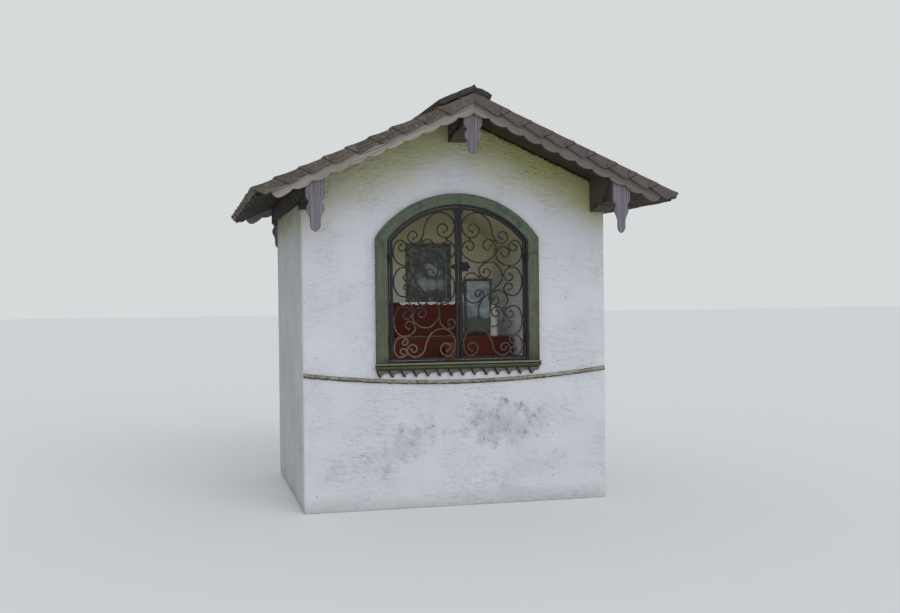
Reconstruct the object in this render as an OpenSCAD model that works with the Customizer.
/* [Masonry] */
// Width of the masonry across the front
wall_w = 2000; // [1800:10:2400]
// Depth of the masonry from front to back
wall_d = 1600; // [1450:10:2000]
// Height of the side walls, up to the wall plates
wall_h = 1915; // [1860:5:2050]
// Thickness of the two gable walls
gable_t = 300; // [200:10:400]

/* [Niche] */
// Half the clear width of the niche and of its arched mouth
niche_half = 460; // [420:5:500]
// Height of the niche floor above the ground
niche_floor = 920; // [880:5:960]
// Radius of the niche's barrel vault
arch_r = 581; // [560:1:620]
// How far the vault's crown lies above the top of the side walls
crown_up = 5; // [0:1:15]
// Depth of the niche from the wall's face
niche_d = 800; // [700:10:900]
// Thickness of the masonry over the crown of the vault
vault_t = 110; // [80:5:140]

/* [Window casing] */
// Width of the upright casing boards
casing_w = 75; // [60:1:90]
// Width of the arched casing board
casing_arch_w = 70; // [60:1:80]
// How far the casing stands out from the wall
casing_proud = 30; // [24:1:40]
// Height of the sill moulding
sill_h = 35; // [28:1:45]
// How far the sill stands out from the wall
sill_proud = 52; // [46:1:70]
// How far the sill runs past the casing at each end
sill_past = 8; // [0:1:20]
// Depth of the toothed trim under the sill
trim_h = 55; // [45:1:70]
// How far that trim stands out from the wall
trim_proud = 24; // [15:1:30]
// Number of teeth on the trim
trim_teeth = 16; // [8:1:20]
// Height of each tooth
tooth_h = 45; // [30:1:50]

/* [String moulding] */
// Height of the moulding's centre line at the corners of the wall
string_end_z = 857; // [840:1:870]
// How far it sags to the middle of the front
string_sag = 64; // [30:1:70]
// Height of the moulding
string_h = 27; // [20:1:32]
// How far it stands out from the wall
string_proud = 22; // [15:1:30]
// How far its ends stop short of the corners
string_short = 10; // [0:1:30]

/* [Gate] */
// Width of the fixed iron frame's bar, seen from the front
fixed_bar = 12; // [10:1:16]
// Depth of that bar from front to back
fixed_depth = 26; // [20:1:30]
// How far the iron stands out from the wall's face
iron_proud = 24; // [18:1:28]
// Clear gap between the fixed frame and the leaves
leaf_gap = 5; // [5:0.5:8]
// Width of the leaf frame's bar, seen from the front
leaf_bar = 16; // [12:1:20]
// Width of the upright bar on which the leaves meet
meeting_bar = 19; // [14:1:24]
// Clear gap between the two leaves
meeting_gap = 6; // [5:0.5:10]
// Depth of the leaf frame from front to back
leaf_depth = 16; // [12:1:20]
// Width of a scroll's bar, seen from the front
scroll_bar = 9; // [7:0.5:10]
// Depth of a scroll's bar from front to back
scroll_depth = 9; // [6:0.5:12]
// Length of the collars that bind the scrolls
collar_len = 26; // [20:1:30]
// How far a collar stands out from its bars
collar_proud = 2; // [1:0.5:3]
// Radius of the hinge pins
pin_r = 5; // [4:0.5:6]
// Wall of the hinge knuckles round the pin
knuckle_wall = 4; // [3:0.5:5]
// Height of one hinge knuckle
knuckle_h = 18; // [14:1:24]
// Play between a knuckle and the pin, and between knuckles
hinge_play = 0.3; // [0.2:0.05:0.5]
// Height of the lower hinges above the niche floor
hinge_low = 135; // [100:5:200]
// How far the upper hinges lie below the springing of the arch
hinge_drop = 124; // [60:1:200]
// Height of the lock and its handle above the niche floor
lock_h = 605; // [560:5:630]
// Size of the gussets at the head of the meeting bars
gusset = 34; // [20:1:45]

/* [Roof] */
// Pitch of the roof
rake = 23.9; // [20:0.1:30]
// Width of the purlins
purlin_w = 115; // [90:1:130]
// Height of the wall plates over the walls
plate_h = 153; // [120:1:180]
// Height of the ridge purlin at its sides
ridge_h = 115; // [90:1:150]
// How far the wall plates stand out past the side walls
plate_past = 10; // [0:1:30]
// How far the purlins reach past the gable walls
purlin_oh = 385; // [300:5:450]
// How far the roof boards reach past the side walls
eave_oh = 290; // [200:5:350]
// Thickness of the roof boards
board_t = 25; // [20:1:30]
// Clearance between the roof boards and the sloping seats under them
roof_seat = 0.1; // [0.05:0.05:0.3]
// Thickness of a pendant, a bargeboard and a verge board
trim_t = 20; // [15:1:25]
// Length of a shingle course open to the weather
shingle_course = 150; // [120:5:200]
// Thickness of the shingle cover at the head of a course
cover_thin = 22; // [15:1:30]
// Thickness of the shingle cover at the butt of a course
cover_thick = 42; // [34:1:50]
// How far the shingles reach past the boards at the eaves
shingle_past = 12; // [5:1:30]
// Thickness of the ridge boards
ridge_board_t = 25; // [18:1:30]
// Length of the left ridge board down the slope
ridge_board_left = 190; // [120:5:250]
// How far the left ridge board runs past the ridge
ridge_board_past = 42; // [30:1:50]
// Length of the right ridge board down the slope
ridge_board_right = 85; // [70:5:250]

/* [Roof trim] */
// How far the bargeboard hangs below the roof boards
barge_drop = 56; // [40:1:70]
// How far the bargeboard stops short of the roof boards' lower ends
barge_short = 90; // [60:5:120]
// Length of one lobe along the bargeboard's lower edge
lobe = 120; // [90:5:150]
// How far the lobes hang below the points between them
lobe_depth = 16; // [8:1:20]
// Height of a verge board
verge_h = 56; // [45:1:65]
// How far a verge board starts below the top of the roof boards
verge_lap = 18; // [4:1:24]
// How much each verge board drops at its lower end
verge_drop = 10; // [4:1:14]
// Width of a pendant board
pendant_w = 112; // [90:1:125]
// Length of a pendant at the eaves
pendant_eave = 320; // [280:5:360]
// Length of a pendant at the ridge
pendant_mid = 270; // [240:5:300]
// Length of the stepped corbels under the purlins
corbel_len = 150; // [100:5:200]
// Height of one corbel step
corbel_step = 18; // [12:1:24]
// How much shorter the lower step is
corbel_short = 45; // [25:5:70]

/* [Altar] */
// Height of the lower tier of the altar
tier_low = 138; // [120:1:160]
// Height of the upper tier above the niche floor
tier_high = 372; // [340:1:400]
// Distance from the wall's face to the front of the lower tier
tier_low_y = 270; // [240:5:320]
// Distance from the wall's face to the front of the upper tier
tier_high_y = 520; // [470:5:560]
// Space between the upper tier and the left side of the niche
tier_free_left = 160; // [120:5:200]
// Space between the upper tier and the right side of the niche
tier_free_right = 295; // [260:5:300]
// Gap between the altar and the niche walls
altar_gap = 12; // [8:1:20]
// Thickness of the altar cloth as it lies
cloth_t = 6; // [4:1:8]

/* [Things on the altar] */
// Width of the framed painting
painting_w = 326; // [280:2:340]
// Height of the framed painting
painting_h = 412; // [360:2:430]
// How far the painting stands in from the right end of the upper tier
painting_in = 14; // [0:1:30]
// Width of the framed print
print_w = 205; // [180:5:220]
// Height of the framed print
print_h = 395; // [340:5:420]
// Gap between the print and the right side of the niche
print_gap = 8; // [4:1:12]
// Thickness of both picture frames
picture_t = 22; // [16:1:28]
// Height of the statuette
statue_h = 225; // [190:5:260]
// How far the statuette stands left of the print's centre
statue_left = 10; // [0:1:20]
// How far its centre stands back from the front of the lower tier
statue_in = 90; // [60:5:130]
// Height of the flower pot
pot_h = 112; // [95:1:125]
// Radius of the flower pot at its rim
pot_r = 58; // [45:1:65]
// Gap between the flower pot and the altar cloth
pot_gap = 41; // [10:1:60]

/* [Hidden] */
$fn = 64;
front = -wall_d / 2;
back = wall_d / 2;
half = wall_w / 2;
far = 6000;

// Where the vault springs from the upright sides of the niche
crown_z = wall_h + crown_up;
arch_z = crown_z - arch_r;
spring_z = arch_z + sqrt(arch_r * arch_r - niche_half * niche_half);
// The vault's masonry ends a little higher, where it is this thick, and not in a feather edge
feather = 3;
foot_z = arch_z + sqrt(arch_r * arch_r - pow(niche_half - feather, 2));
casing_half = niche_half + casing_w;
casing_r = arch_r + casing_arch_w;

// The underside of the roof boards is a straight line on each slope, through the tops of the plates
plate_x = half + plate_past - purlin_w / 2;
under_z = wall_h + plate_h + tan(rake) * plate_x;
slope_len = (half + eave_oh) / cos(rake);
ridge_foot = under_z - purlin_w / 2 * tan(rake) - ridge_h;
function seat_z(x) = under_z - roof_seat - x * tan(rake);
verge_y = purlin_oh + trim_t;
courses = ceil(slope_len / shingle_course);

// The iron lies between these two planes
iron_y = front - iron_proud;
leaf_half = niche_half - fixed_bar - leaf_gap;
knuckle_r = pin_r + knuckle_wall;
hinge_x = niche_half - fixed_bar - leaf_gap / 2;
hinge_clear = 3;
hinge_heights = [niche_floor + hinge_low, spring_z - hinge_drop];
hinge_y = iron_y - knuckle_r - hinge_clear;
inner_left = meeting_gap / 2 + meeting_bar;
inner_right = leaf_half - leaf_bar;
inner_high = crown_z - fixed_bar - leaf_gap - leaf_bar;

string_facets = 1440;
string_r = (pow(half - string_short, 2) + string_sag * string_sag) / (2 * string_sag);

white = "#e9ebee";
wood = "#6d645c";
green = "#5c7357";
iron = "#2b2c33";

// Stands a drawing made in the X and Z of the object upright, between two planes of Y
module upright(y0, y1) {
    translate([0, y1, 0]) rotate([90, 0, 0]) linear_extrude(y1 - y0) children();
}

module mirror_if(flip) {
    if (flip) mirror([1, 0, 0]) children();
    else children();
}

// Lays a drawing of distance down the slope and height over the boards' underside on one slope
module on_slope(left) {
    intersection() {
        translate([0, under_z]) mirror_if(left) rotate(-rake) children();
        mirror_if(left) translate([0, -far / 2]) square([far, far]);
    }
}

// The niche's arched outline, drawn in by an inset all round
module niche_outline(inset) {
    intersection() {
        translate([-(niche_half - inset), niche_floor + inset])
            square([2 * (niche_half - inset), crown_z - niche_floor]);
        union() {
            translate([0, arch_z]) circle(arch_r - inset);
            translate([-arch_r, niche_floor]) square([2 * arch_r, arch_z - niche_floor]);
        }
    }
}

module vault_void() {
    translate([0, arch_z]) circle(arch_r);
}

// Masonry

module lower_wall() {
    color(white) translate([-half, front, 0]) cube([wall_w, wall_d, niche_floor]);
}

module side_wall() {
    translate([niche_half, front, niche_floor])
        cube([half - niche_half, wall_d, wall_h - niche_floor]);
}

module left_wall() {
    color(white) mirror([1, 0, 0]) side_wall();
}

module right_wall() {
    color(white) side_wall();
}

module back_wall() {
    color(white) translate([-niche_half, front + niche_d, niche_floor])
        cube([2 * niche_half, wall_d - niche_d, wall_h - niche_floor]);
}

module niche_vault() {
    color(white) upright(front + gable_t, front + niche_d) difference() {
        translate([-niche_half, foot_z]) square([2 * niche_half, crown_z + vault_t - foot_z]);
        vault_void();
    }
}

// One gable above the side walls, with the pockets that hold the purlins. Its foot reaches down between
// the side walls to a given height
module gable_outline(low) {
    difference() {
        polygon([[-half, wall_h], [-niche_half, wall_h], [-niche_half, low], [niche_half, low],
            [niche_half, wall_h], [half, wall_h], [half, seat_z(half)], [0, seat_z(0)], [-half, seat_z(half)]]);
        plate_outline();
        mirror([1, 0]) plate_outline();
        ridge_outline();
    }
}

module front_gable() {
    color(white) upright(front, front + gable_t) difference() {
        gable_outline(foot_z);
        vault_void();
    }
}

module back_gable() {
    color(white) upright(back - gable_t, back) gable_outline(wall_h);
}

module string_moulding() {
    color("#b9ac8a") upright(front - string_proud, front) intersection() {
        translate([0, string_end_z - string_sag + string_r]) difference() {
            circle(string_r + string_h / 2, $fn = string_facets);
            circle(string_r - string_h / 2, $fn = string_facets);
        }
        translate([string_short - half, string_end_z - 2 * string_sag])
            square([wall_w - 2 * string_short, 3 * string_sag]);
    }
}

// Window casing

module casing_right() {
    color(green) translate([niche_half, front - casing_proud, niche_floor])
        cube([casing_w, casing_proud, spring_z - niche_floor]);
}

module casing_left() {
    mirror([1, 0, 0]) casing_right();
}

module casing_arch() {
    color(green) upright(front - casing_proud, front) difference() {
        intersection() {
            translate([0, arch_z]) circle(casing_r);
            translate([-casing_half, spring_z]) square([2 * casing_half, casing_r]);
        }
        vault_void();
    }
}

// The sill is a stepped moulding with a rounded nose, drawn from front to back
module window_sill() {
    nose = sill_h * 0.28;
    color("#a89a5e") translate([-casing_half - sill_past, 0, 0]) rotate([90, 0, 90])
        linear_extrude(2 * (casing_half + sill_past)) union() {
            translate([front - sill_proud + nose, niche_floor - 2 * nose])
                square([sill_proud - nose, 2 * nose]);
            translate([front - sill_proud + nose, niche_floor - nose]) circle(nose);
            translate([front - casing_proud - nose / 2, niche_floor - sill_h])
                square([casing_proud + nose / 2, sill_h]);
        }
}

module sill_trim() {
    pitch = 2 * casing_half / trim_teeth;
    top = niche_floor - sill_h;
    root = top - trim_h + tooth_h;
    color("#8c9484") upright(front - trim_proud, front) polygon(concat(
        [[casing_half, top], [-casing_half, top], [-casing_half, root]],
        [for (i = [0:trim_teeth - 1], step = [0.5, 1])
            [-casing_half + (i + step) * pitch, step == 1 ? root : root - tooth_h]]));
}

// Gate

module gate_frame() {
    color(iron) upright(iron_y, iron_y + fixed_depth) difference() {
        niche_outline(0);
        niche_outline(fixed_bar);
    }
}

// The outline of the right leaf, and the same drawn in by its bars
module leaf_outline(bar, stile) {
    intersection() {
        niche_outline(fixed_bar + leaf_gap + bar);
        translate([meeting_gap / 2 + stile, niche_floor]) square([niche_half, crown_z - niche_floor]);
    }
}

// One knuckle round the pin, with the tab that carries it on the iron behind
module knuckle(z, tab_x0, tab_x1, bore) {
    difference() {
        union() {
            translate([hinge_x, hinge_y, z]) cylinder(r = knuckle_r, h = knuckle_h);
            translate([tab_x0, hinge_y, z]) cube([tab_x1 - tab_x0, iron_y - hinge_y, knuckle_h]);
        }
        if (bore) translate([hinge_x, hinge_y, z - 1])
            cylinder(r = pin_r + hinge_play, h = knuckle_h + 2);
    }
}

module fixed_hinge(z) {
    fixed_x = niche_half - fixed_bar;
    step = knuckle_h + hinge_play;
    knuckle(z - step, fixed_x, hinge_x + knuckle_r, false);
    knuckle(z + step, fixed_x, hinge_x + knuckle_r, false);
    translate([hinge_x, hinge_y, z - step]) cylinder(r = pin_r, h = 2 * step + knuckle_h);
}

module hinge_pins() {
    color(iron) for (left = [true, false], z = hinge_heights) mirror_if(left) fixed_hinge(z);
}

// The head of the meeting bar has a hollow-cut gusset under the arch
module leaf() {
    difference() {
        upright(iron_y, iron_y + leaf_depth) leaf_outline(0, 0);
        upright(iron_y - 1, iron_y + leaf_depth + 1) difference() {
            leaf_outline(leaf_bar, meeting_bar);
            translate([inner_left - 1, inner_high - gusset]) difference() {
                square([gusset + 1, 2 * gusset]);
                translate([gusset + 1, 0]) circle(gusset);
            }
        }
    }
    for (z = hinge_heights) knuckle(z, hinge_x - knuckle_r, leaf_half, true);
}

module right_leaf() {
    color(iron) leaf();
}

module left_leaf() {
    color(iron) mirror([1, 0, 0]) leaf();
}

// Scrollwork

// One curl of a scroll, from its outer point in to its eye, a quarter turn a step
wind = 0.78;
function curl(eye, r, angle, turn, steps = 5) =
    [for (i = [0:steps - 1]) eye + r * pow(wind, i) * [cos(angle + turn * 90 * i), sin(angle + turn * 90 * i)]];

function turned(list) = [for (i = [len(list) - 1:-1:0]) list[i]];

// A smooth curve through a scroll's points. At each one it runs along the circle through its neighbours
handle = 0.38;
curve_steps = 6;
function unit(v) = v / norm(v);
function way(a, b) = unit(a / (a * a) + b / (b * b));
function tangent(p, i) = i == 0 ? unit(p[1] - p[0]) : i == len(p) - 1 ? unit(p[i] - p[i - 1])
    : way(p[i] - p[i - 1], p[i + 1] - p[i]);
function bezier(a, b, c, d, t) =
    pow(1 - t, 3) * a + 3 * t * pow(1 - t, 2) * b + 3 * t * t * (1 - t) * c + t * t * t * d;
function smooth(p) = concat(
    [for (i = [0:len(p) - 2], k = [0:curve_steps - 1]) let (reach = handle * norm(p[i + 1] - p[i]))
        bezier(p[i], p[i] + reach * tangent(p, i), p[i + 1] - reach * tangent(p, i + 1), p[i + 1],
            k / curve_steps)],
    [p[len(p) - 1]]);

// The scrolls are drawn for a leaf with this opening: its left, right and lower edge, then the height of
// its arch's centre and the arch's radius. They follow the leaf when that changes
drawn = [22, 427, 953, 1339, 548];
inner_low = niche_floor + fixed_bar + leaf_gap + leaf_bar;
inner_arch = arch_r - fixed_bar - leaf_gap - leaf_bar;
function under_arch(x, z, r) = z + sqrt(r * r - x * x);
function place(p) = let (
    x = inner_left + (p[0] - drawn[0]) * (inner_right - inner_left) / (drawn[1] - drawn[0]),
    rise = (p[1] - drawn[2]) / (under_arch(p[0], drawn[3], drawn[4]) - drawn[2]))
    [x, inner_low + rise * (under_arch(x, arch_z, inner_arch) - inner_low)];

function normal(p, i) = let (d = p[min(i + 1, len(p) - 1)] - p[max(i - 1, 0)]) [-d[1], d[0]] / norm(d);

// A bar of even width along the curve through the given points
module bar(points) {
    p = smooth([for (q = points) place(q)]);
    polygon(concat(
        [for (i = [0:len(p) - 1]) p[i] + normal(p, i) * scroll_bar / 2],
        [for (i = [len(p) - 1:-1:0]) p[i] - normal(p, i) * scroll_bar / 2]));
}

top_scroll = concat(turned(curl([95, 1763], 69, 180, 1, 6)), [[110, 1869], [195, 1826], [221, 1772], [234, 1714]],
    curl([290, 1719], 47, 270, 1));
upper_c = concat(turned(curl([73, 1652], 47, 180, -1)), [[130, 1550]], curl([195, 1657], 52, 0, 1));
upper_side_c = concat(turned(curl([304, 1611], 52, 180, -1)), [[337, 1530], [422, 1605]],
    curl([368, 1650], 41, 90, 1));
middle_scroll = concat(turned(curl([180, 1489], 45, 180, 1)), [[203, 1553], [289, 1461], [227, 1368]]);
side_c = concat(turned(curl([337, 1462], 36, 180, 1, 4)), [[352, 1520], [422, 1429], [350, 1338]],
    curl([335, 1391], 34, 180, -1, 4));
centre_c = concat([[139, 1456], [85, 1486], [27, 1396], [98, 1294]], curl([128, 1350], 34, 0, 1));
long_stem = concat([[227, 1368], [152, 1311], [129, 1241], [131, 1200], [109, 1151]],
    curl([57, 1168], 38, 270, -1));
heart = concat([[131, 1200], [207, 1140], [300, 1221]], curl([246, 1229], 38, 90, 1));
small_scroll = concat(turned(curl([241, 1312], 39, 180, 1)), [[259, 1373], [324, 1311], [301, 1262]]);
lower_side_c = concat(turned(curl([342, 1224], 35, 180, 1, 4)), [[356, 1273], [422, 1180], [354, 1087]],
    curl([326, 1152], 38, 180, -1, 4));
foot_side_c = concat(turned(curl([357, 1051], 22, 180, 1, 4)), [[369, 1083], [422, 1020], [385, 958]],
    curl([367, 989], 27, 180, -1, 4));
foot_scroll = concat(turned(curl([299, 1005], 38, 0, 1)),
    [[296, 958], [245, 974], [209, 1057], [173, 1111], [111, 1132], [27, 1047]], curl([82, 1009], 51, 270, 1));
scrolls = [top_scroll, upper_c, upper_side_c, middle_scroll, side_c, centre_c, long_stem, heart, small_scroll,
    lower_side_c, foot_side_c, foot_scroll];

// Each scroll ends in a snub at its eye, where it has one
eyes = concat([for (s = [top_scroll, upper_c, upper_side_c, middle_scroll, side_c, small_scroll, lower_side_c,
    foot_side_c, foot_scroll]) s[0]], [for (s = [top_scroll, upper_c, upper_side_c, side_c, centre_c, long_stem,
    heart, lower_side_c, foot_side_c, foot_scroll]) s[len(s) - 1]]);

// Each collar binds two bars, or a bar and the leaf's frame: its middle, and its angle
collars = [[76, 1700, 0], [240, 1690, 60], [249, 1636, 90], [170, 1552, 0], [340, 1526, 0], [139, 1462, 90],
    [227, 1368, 20], [296, 1472, 90], [150, 1314, 20], [130, 1202, 90], [302, 1262, 70], [246, 1270, 0],
    [304, 1222, 90], [304, 1358, 60], [356, 1086, 0], [66, 1131, 0], [24, 1763, 90], [24, 1652, 90],
    [24, 1398, 90], [27, 1168, 90], [108, 1874, 0], [425, 1607, 90], [425, 1429, 90], [425, 1180, 90],
    [425, 1020, 90], [296, 956, 90], [386, 956, 90], [82, 956, 90], [24, 1047, 90]];

module scrollwork() {
    scroll_y = iron_y + (leaf_depth - scroll_depth) / 2;
    collar_y = scroll_y - collar_proud;
    intersection() {
        upright(iron_y - 1, iron_y + leaf_depth + 1) leaf_outline(leaf_bar, meeting_bar);
        union() {
            for (s = scrolls) upright(scroll_y, scroll_y + scroll_depth) bar(s);
            for (e = eyes) upright(scroll_y, scroll_y + scroll_depth) translate(place(e))
                circle(scroll_bar * 0.8, $fn = 24);
            for (c = collars) upright(collar_y, collar_y + scroll_depth + 2 * collar_proud)
                translate(place(c)) rotate(c[2]) square([scroll_bar + 2 * collar_proud, collar_len], center = true);
        }
    }
}

module right_scrollwork() {
    color(iron) scrollwork();
}

module left_scrollwork() {
    color(iron) mirror([1, 0, 0]) scrollwork();
}

// The lock plate is a leaf rosette on the right leaf's meeting bar
module lock_rosette() {
    petals = 8;
    rosette_r = 34;
    petal_r = 11;
    rosette_t = 8;
    rosette_x = meeting_gap / 2 + rosette_r + 2;
    color(iron) translate([rosette_x, iron_y, niche_floor + lock_h]) rotate([90, 0, 0]) {
        cylinder(r = rosette_r * 0.6, h = rosette_t);
        for (i = [0:petals - 1]) rotate((i + 0.5) * 360 / petals) translate([rosette_r - petal_r, 0, 0])
            rotate(90) cylinder(r = petal_r, h = rosette_t * 0.6);
        cylinder(r = petal_r, h = rosette_t * 1.5);
    }
}

// The handle is a small leaf on the left leaf's meeting bar
module lock_handle() {
    handle_t = 7;
    color(iron) translate([-meeting_gap / 2, iron_y, niche_floor + lock_h]) rotate([90, 0, 0])
        linear_extrude(handle_t) polygon([[0, 6], [-meeting_bar, 9], [-30, 18], [-44, 11], [-56, 0],
            [-44, -11], [-30, -18], [-meeting_bar, -9], [0, -6]]);
}

module drop_bolt() {
    bolt_r = 5;
    bolt_len = 95;
    ring_r = 9;
    ring_bar = 3;
    staple_w = 18;
    bolt_y = iron_y - bolt_r - 0.5;
    bolt_x = meeting_gap / 2 + meeting_bar / 2;
    bolt_z = niche_floor + fixed_bar + leaf_gap;
    color(iron) {
        translate([bolt_x, bolt_y, bolt_z]) cylinder(r = bolt_r, h = bolt_len);
        for (z = [20, 70]) translate([bolt_x - staple_w / 2, bolt_y - bolt_r - 2, bolt_z + z])
            cube([staple_w, iron_y - bolt_y + bolt_r + 2, 8]);
        translate([bolt_x, bolt_y, bolt_z + bolt_len + ring_r - ring_bar]) rotate([90, 0, 0])
            rotate_extrude() translate([ring_r, 0]) circle(ring_bar);
    }
}

// Roof timbers

module plate_outline() {
    x0 = half + plate_past - purlin_w;
    x1 = half + plate_past;
    polygon([[x0, wall_h], [x1, wall_h], [x1, seat_z(x1)], [x0, seat_z(x0)]]);
}

module ridge_outline() {
    side = purlin_w / 2;
    polygon([[-side, ridge_foot], [side, ridge_foot], [side, seat_z(side)], [0, seat_z(0)],
        [-side, seat_z(side)]]);
}

// Two rounded steps under a purlin, against the outside of a gable wall
module corbel(x, z) {
    for (i = [0, 1]) {
        length = corbel_len - i * corbel_short;
        translate([x, front - length, z - (i + 1) * corbel_step]) difference() {
            cube([purlin_w, length, corbel_step]);
            translate([-1, 0, 0]) rotate([0, 90, 0]) cylinder(r = corbel_step * 0.8, h = purlin_w + 2);
        }
    }
}

module corbels(x, z) {
    corbel(x, z);
    mirror([0, 1, 0]) corbel(x, z);
}

module right_timber() {
    upright(front - purlin_oh, back + purlin_oh) plate_outline();
    corbels(half + plate_past - purlin_w, wall_h);
}

module right_plate() {
    color(wood) right_timber();
}

module left_plate() {
    color(wood) mirror([1, 0, 0]) right_timber();
}

module ridge_purlin() {
    color(wood) {
        upright(front - purlin_oh, back + purlin_oh) ridge_outline();
        corbels(-purlin_w / 2, ridge_foot);
    }
}

module roof_boards(left) {
    color(wood) upright(front - verge_y, back + verge_y) on_slope(left)
        translate([-board_t, 0]) square([slope_len + board_t, board_t]);
}

module left_roof_boards() {
    roof_boards(true);
}

module right_roof_boards() {
    roof_boards(false);
}

// The shingle cover rises to the butt of each course and drops to the head of the next
function course_end(i) = slope_len + shingle_past - i * shingle_course;

module shingle_cover() {
    polygon(concat([[course_end(0), board_t], [course_end(0), board_t + cover_thick]],
        [for (i = [1:courses], step = [0, 1])
            [max(course_end(i), -cover_thick), board_t + (step == 0 ? cover_thin : cover_thick)]],
        [[-cover_thick, board_t]]));
}

module shingles(left) {
    color("#7a716a") upright(front - verge_y - trim_t, back + verge_y + trim_t) on_slope(left)
        shingle_cover();
}

module left_shingles() {
    shingles(true);
}

module right_shingles() {
    shingles(false);
}

ridge_seat = board_t + cover_thick;

module left_ridge_board() {
    color(wood) upright(front - verge_y - trim_t, back + verge_y + trim_t)
        translate([0, under_z]) mirror([1, 0]) rotate(-rake) translate([-ridge_board_past, ridge_seat])
            square([ridge_board_left + ridge_board_past, ridge_board_t]);
}

module right_ridge_board() {
    color(wood) upright(front - verge_y - trim_t, back + verge_y + trim_t) difference() {
        translate([0, under_z]) rotate(-rake) translate([0, ridge_seat])
            square([ridge_board_right, ridge_board_t]);
        translate([0, under_z]) mirror([1, 0]) rotate(-rake) translate([-far / 2, ridge_seat])
            square([far, far]);
    }
}

// Roof trim at the front and back ends

module bargeboard(left) {
    length = slope_len - barge_short;
    lobe_r = (lobe * lobe / 4 + lobe_depth * lobe_depth) / (2 * lobe_depth);
    color(wood) upright(front - verge_y - trim_t, front - verge_y) on_slope(left) {
        translate([-barge_drop, lobe_depth - barge_drop])
            square([length + barge_drop, barge_drop - lobe_depth + board_t]);
        for (i = [0:floor(length / lobe) - 1]) intersection() {
            translate([(i + 0.5) * lobe, lobe_r - barge_drop]) circle(lobe_r);
            translate([i * lobe, -barge_drop]) square([lobe, barge_drop]);
        }
    }
}

module front_left_bargeboard() {
    bargeboard(true);
}

module front_right_bargeboard() {
    bargeboard(false);
}

module back_left_bargeboard() {
    mirror([0, 1, 0]) bargeboard(true);
}

module back_right_bargeboard() {
    mirror([0, 1, 0]) bargeboard(false);
}

// A row of verge boards, each with a rounded lower corner that laps the next
module verge(left) {
    corner = 22;
    color(wood) upright(front - verge_y - 2 * trim_t, front - verge_y - trim_t) on_slope(left)
        for (i = [0:courses - 1]) translate([max(course_end(i + 1) - corner, -verge_h), board_t - verge_lap]) {
            length = course_end(i) - max(course_end(i + 1) - corner, -verge_h);
            square([length, verge_h]);
            translate([length * 0.35, -verge_drop]) square([length * 0.65 - corner, verge_h]);
            translate([length - corner, corner - verge_drop]) circle(corner);
            translate([length - corner, corner - verge_drop]) square([corner, verge_h - corner + verge_drop]);
        }
}

module front_left_verge() {
    verge(true);
}

module front_right_verge() {
    verge(false);
}

module back_left_verge() {
    mirror([0, 1, 0]) verge(true);
}

module back_right_verge() {
    mirror([0, 1, 0]) verge(false);
}

// A turned outline cut from a board: a wide head, a round lobe, a neck and a tongue
module pendant(top, length) {
    lobe_r = pendant_w * 0.48;
    tongue_r = pendant_w * 0.29;
    translate([0, top]) {
        translate([-pendant_w / 2, -length * 0.42]) square([pendant_w, length * 0.42]);
        translate([-pendant_w * 0.37, -length * 0.6]) square([pendant_w * 0.74, length * 0.3]);
        translate([0, -length * 0.62]) circle(lobe_r);
        translate([-tongue_r, tongue_r - length]) square([2 * tongue_r, length * 0.4]);
        translate([0, tongue_r - length]) circle(tongue_r);
    }
}

module pendants() {
    eave_x = plate_x;
    eave_top = seat_z(eave_x + pendant_w / 2);
    ridge_top = seat_z(pendant_w / 2);
    color("#7c7684") upright(front - verge_y, front - purlin_oh) {
        for (side = [-1, 1]) translate([side * eave_x, 0]) pendant(eave_top, pendant_eave);
        pendant(ridge_top, pendant_mid);
    }
}

module front_pendants() {
    pendants();
}

module back_pendants() {
    mirror([0, 1, 0]) pendants();
}

// Altar

altar_half = niche_half - altar_gap;
altar_back = front + niche_d;
tier_high_left = niche_half - tier_free_left;
tier_high_right = niche_half - tier_free_right;
painting_x = tier_high_right - painting_in - painting_w / 2;
print_x = niche_half - print_gap - print_w / 2;
statue_x = print_x - statue_left;

module altar() {
    color("#8d8478") {
        translate([-altar_half, front + tier_low_y, niche_floor])
            cube([2 * altar_half, niche_d - tier_low_y, tier_low]);
        translate([-tier_high_left, front + tier_high_y, niche_floor])
            cube([tier_high_left + tier_high_right, niche_d - tier_high_y, tier_high]);
    }
}

// The cloth covers the tops and fronts of both tiers
module altar_cloth() {
    low_top = niche_floor + tier_low;
    high_top = niche_floor + tier_high;
    low_y = front + tier_low_y;
    high_y = front + tier_high_y;
    color("#6e2320") {
        translate([-altar_half, low_y - cloth_t, niche_floor + cloth_t])
            cube([2 * altar_half, cloth_t, tier_low]);
        translate([-altar_half, low_y, low_top]) cube([2 * altar_half, high_y - low_y, cloth_t]);
        translate([-tier_high_left, high_y - cloth_t, low_top])
            cube([tier_high_left + tier_high_right, cloth_t, tier_high - tier_low + cloth_t]);
        translate([-tier_high_left, high_y, high_top])
            cube([tier_high_left + tier_high_right, altar_back - high_y, cloth_t]);
    }
}

module lace_cloth() {
    lace_t = 3;
    lace_d = 120;
    lace_inset = 25;
    color("#e6e6ea") translate([lace_inset - tier_high_left, front + tier_high_y,
        niche_floor + tier_high + cloth_t])
        cube([tier_high_left + tier_high_right - 2 * lace_inset, lace_d, lace_t]);
}

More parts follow.
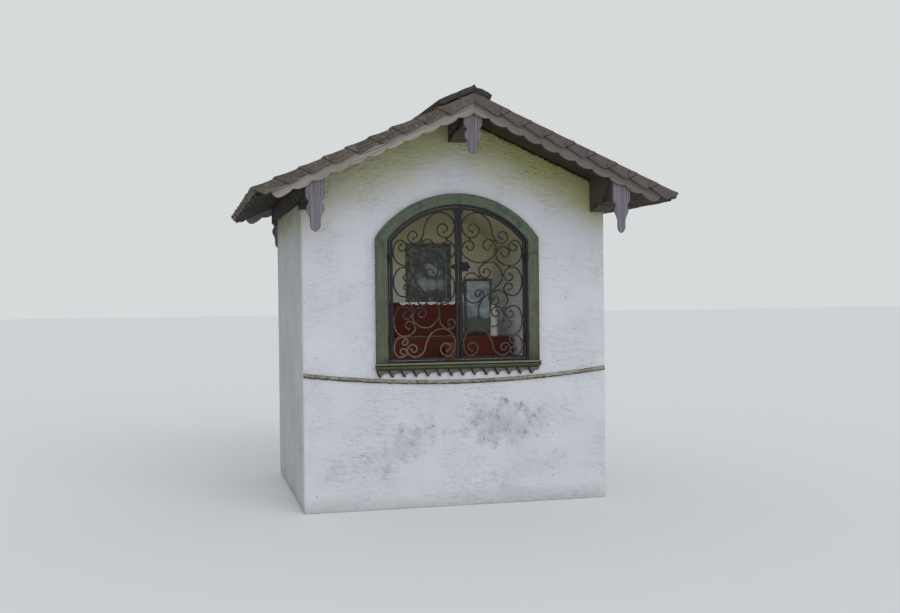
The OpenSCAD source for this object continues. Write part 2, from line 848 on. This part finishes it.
// A framed picture that stands against the back of the niche
module picture(x, z, w, h) {
    rim = w * 0.09;
    translate([x - w / 2, altar_back - picture_t, z]) difference() {
        cube([w, picture_t, h]);
        translate([rim, -1, rim]) cube([w - 2 * rim, picture_t * 0.35 + 1, h - 2 * rim]);
    }
}

module painting() {
    color("#3a4648") picture(painting_x, niche_floor + tier_high + cloth_t, painting_w, painting_h);
}

module print() {
    color("#b9c6d2") picture(print_x, niche_floor + tier_low + cloth_t, print_w, print_h);
}

// A robed figure, turned about its own axis, with a head
module statuette() {
    color("#cfcac2") translate([statue_x, front + tier_low_y + statue_in, niche_floor + tier_low + cloth_t]) {
        rotate_extrude() polygon([[0, 0], [30, 0], [32, 12], [26, 22], [30, statue_h * 0.3],
            [24, statue_h * 0.55], [27, statue_h * 0.72], [10, statue_h * 0.8], [0, statue_h * 0.8]]);
        translate([0, 0, statue_h * 0.89]) sphere(statue_h * 0.11);
    }
}

module flower_pot() {
    foot_r = pot_r * 0.7;
    pot_wall = 6;
    rim_h = 26;
    pot_y = front + tier_low_y - cloth_t - pot_gap - pot_r;
    color("#9c5a3c") translate([0, pot_y, niche_floor]) rotate_extrude() polygon([[0, 0], [foot_r, 0],
        [pot_r - 5, pot_h - rim_h], [pot_r, pot_h - rim_h], [pot_r, pot_h], [pot_r - pot_wall, pot_h],
        [foot_r - pot_wall, pot_wall], [0, pot_wall]]);
}

lower_wall();
left_wall();
right_wall();
back_wall();
niche_vault();
front_gable();
back_gable();
string_moulding();
casing_left();
casing_right();
casing_arch();
window_sill();
sill_trim();
gate_frame();
hinge_pins();
left_leaf();
left_scrollwork();
right_leaf();
right_scrollwork();
lock_rosette();
lock_handle();
drop_bolt();
left_plate();
right_plate();
ridge_purlin();
left_roof_boards();
right_roof_boards();
left_shingles();
right_shingles();
left_ridge_board();
right_ridge_board();
front_left_bargeboard();
front_right_bargeboard();
back_left_bargeboard();
back_right_bargeboard();
front_left_verge();
front_right_verge();
back_left_verge();
back_right_verge();
front_pendants();
back_pendants();
altar();
altar_cloth();
lace_cloth();
painting();
print();
statuette();
flower_pot();
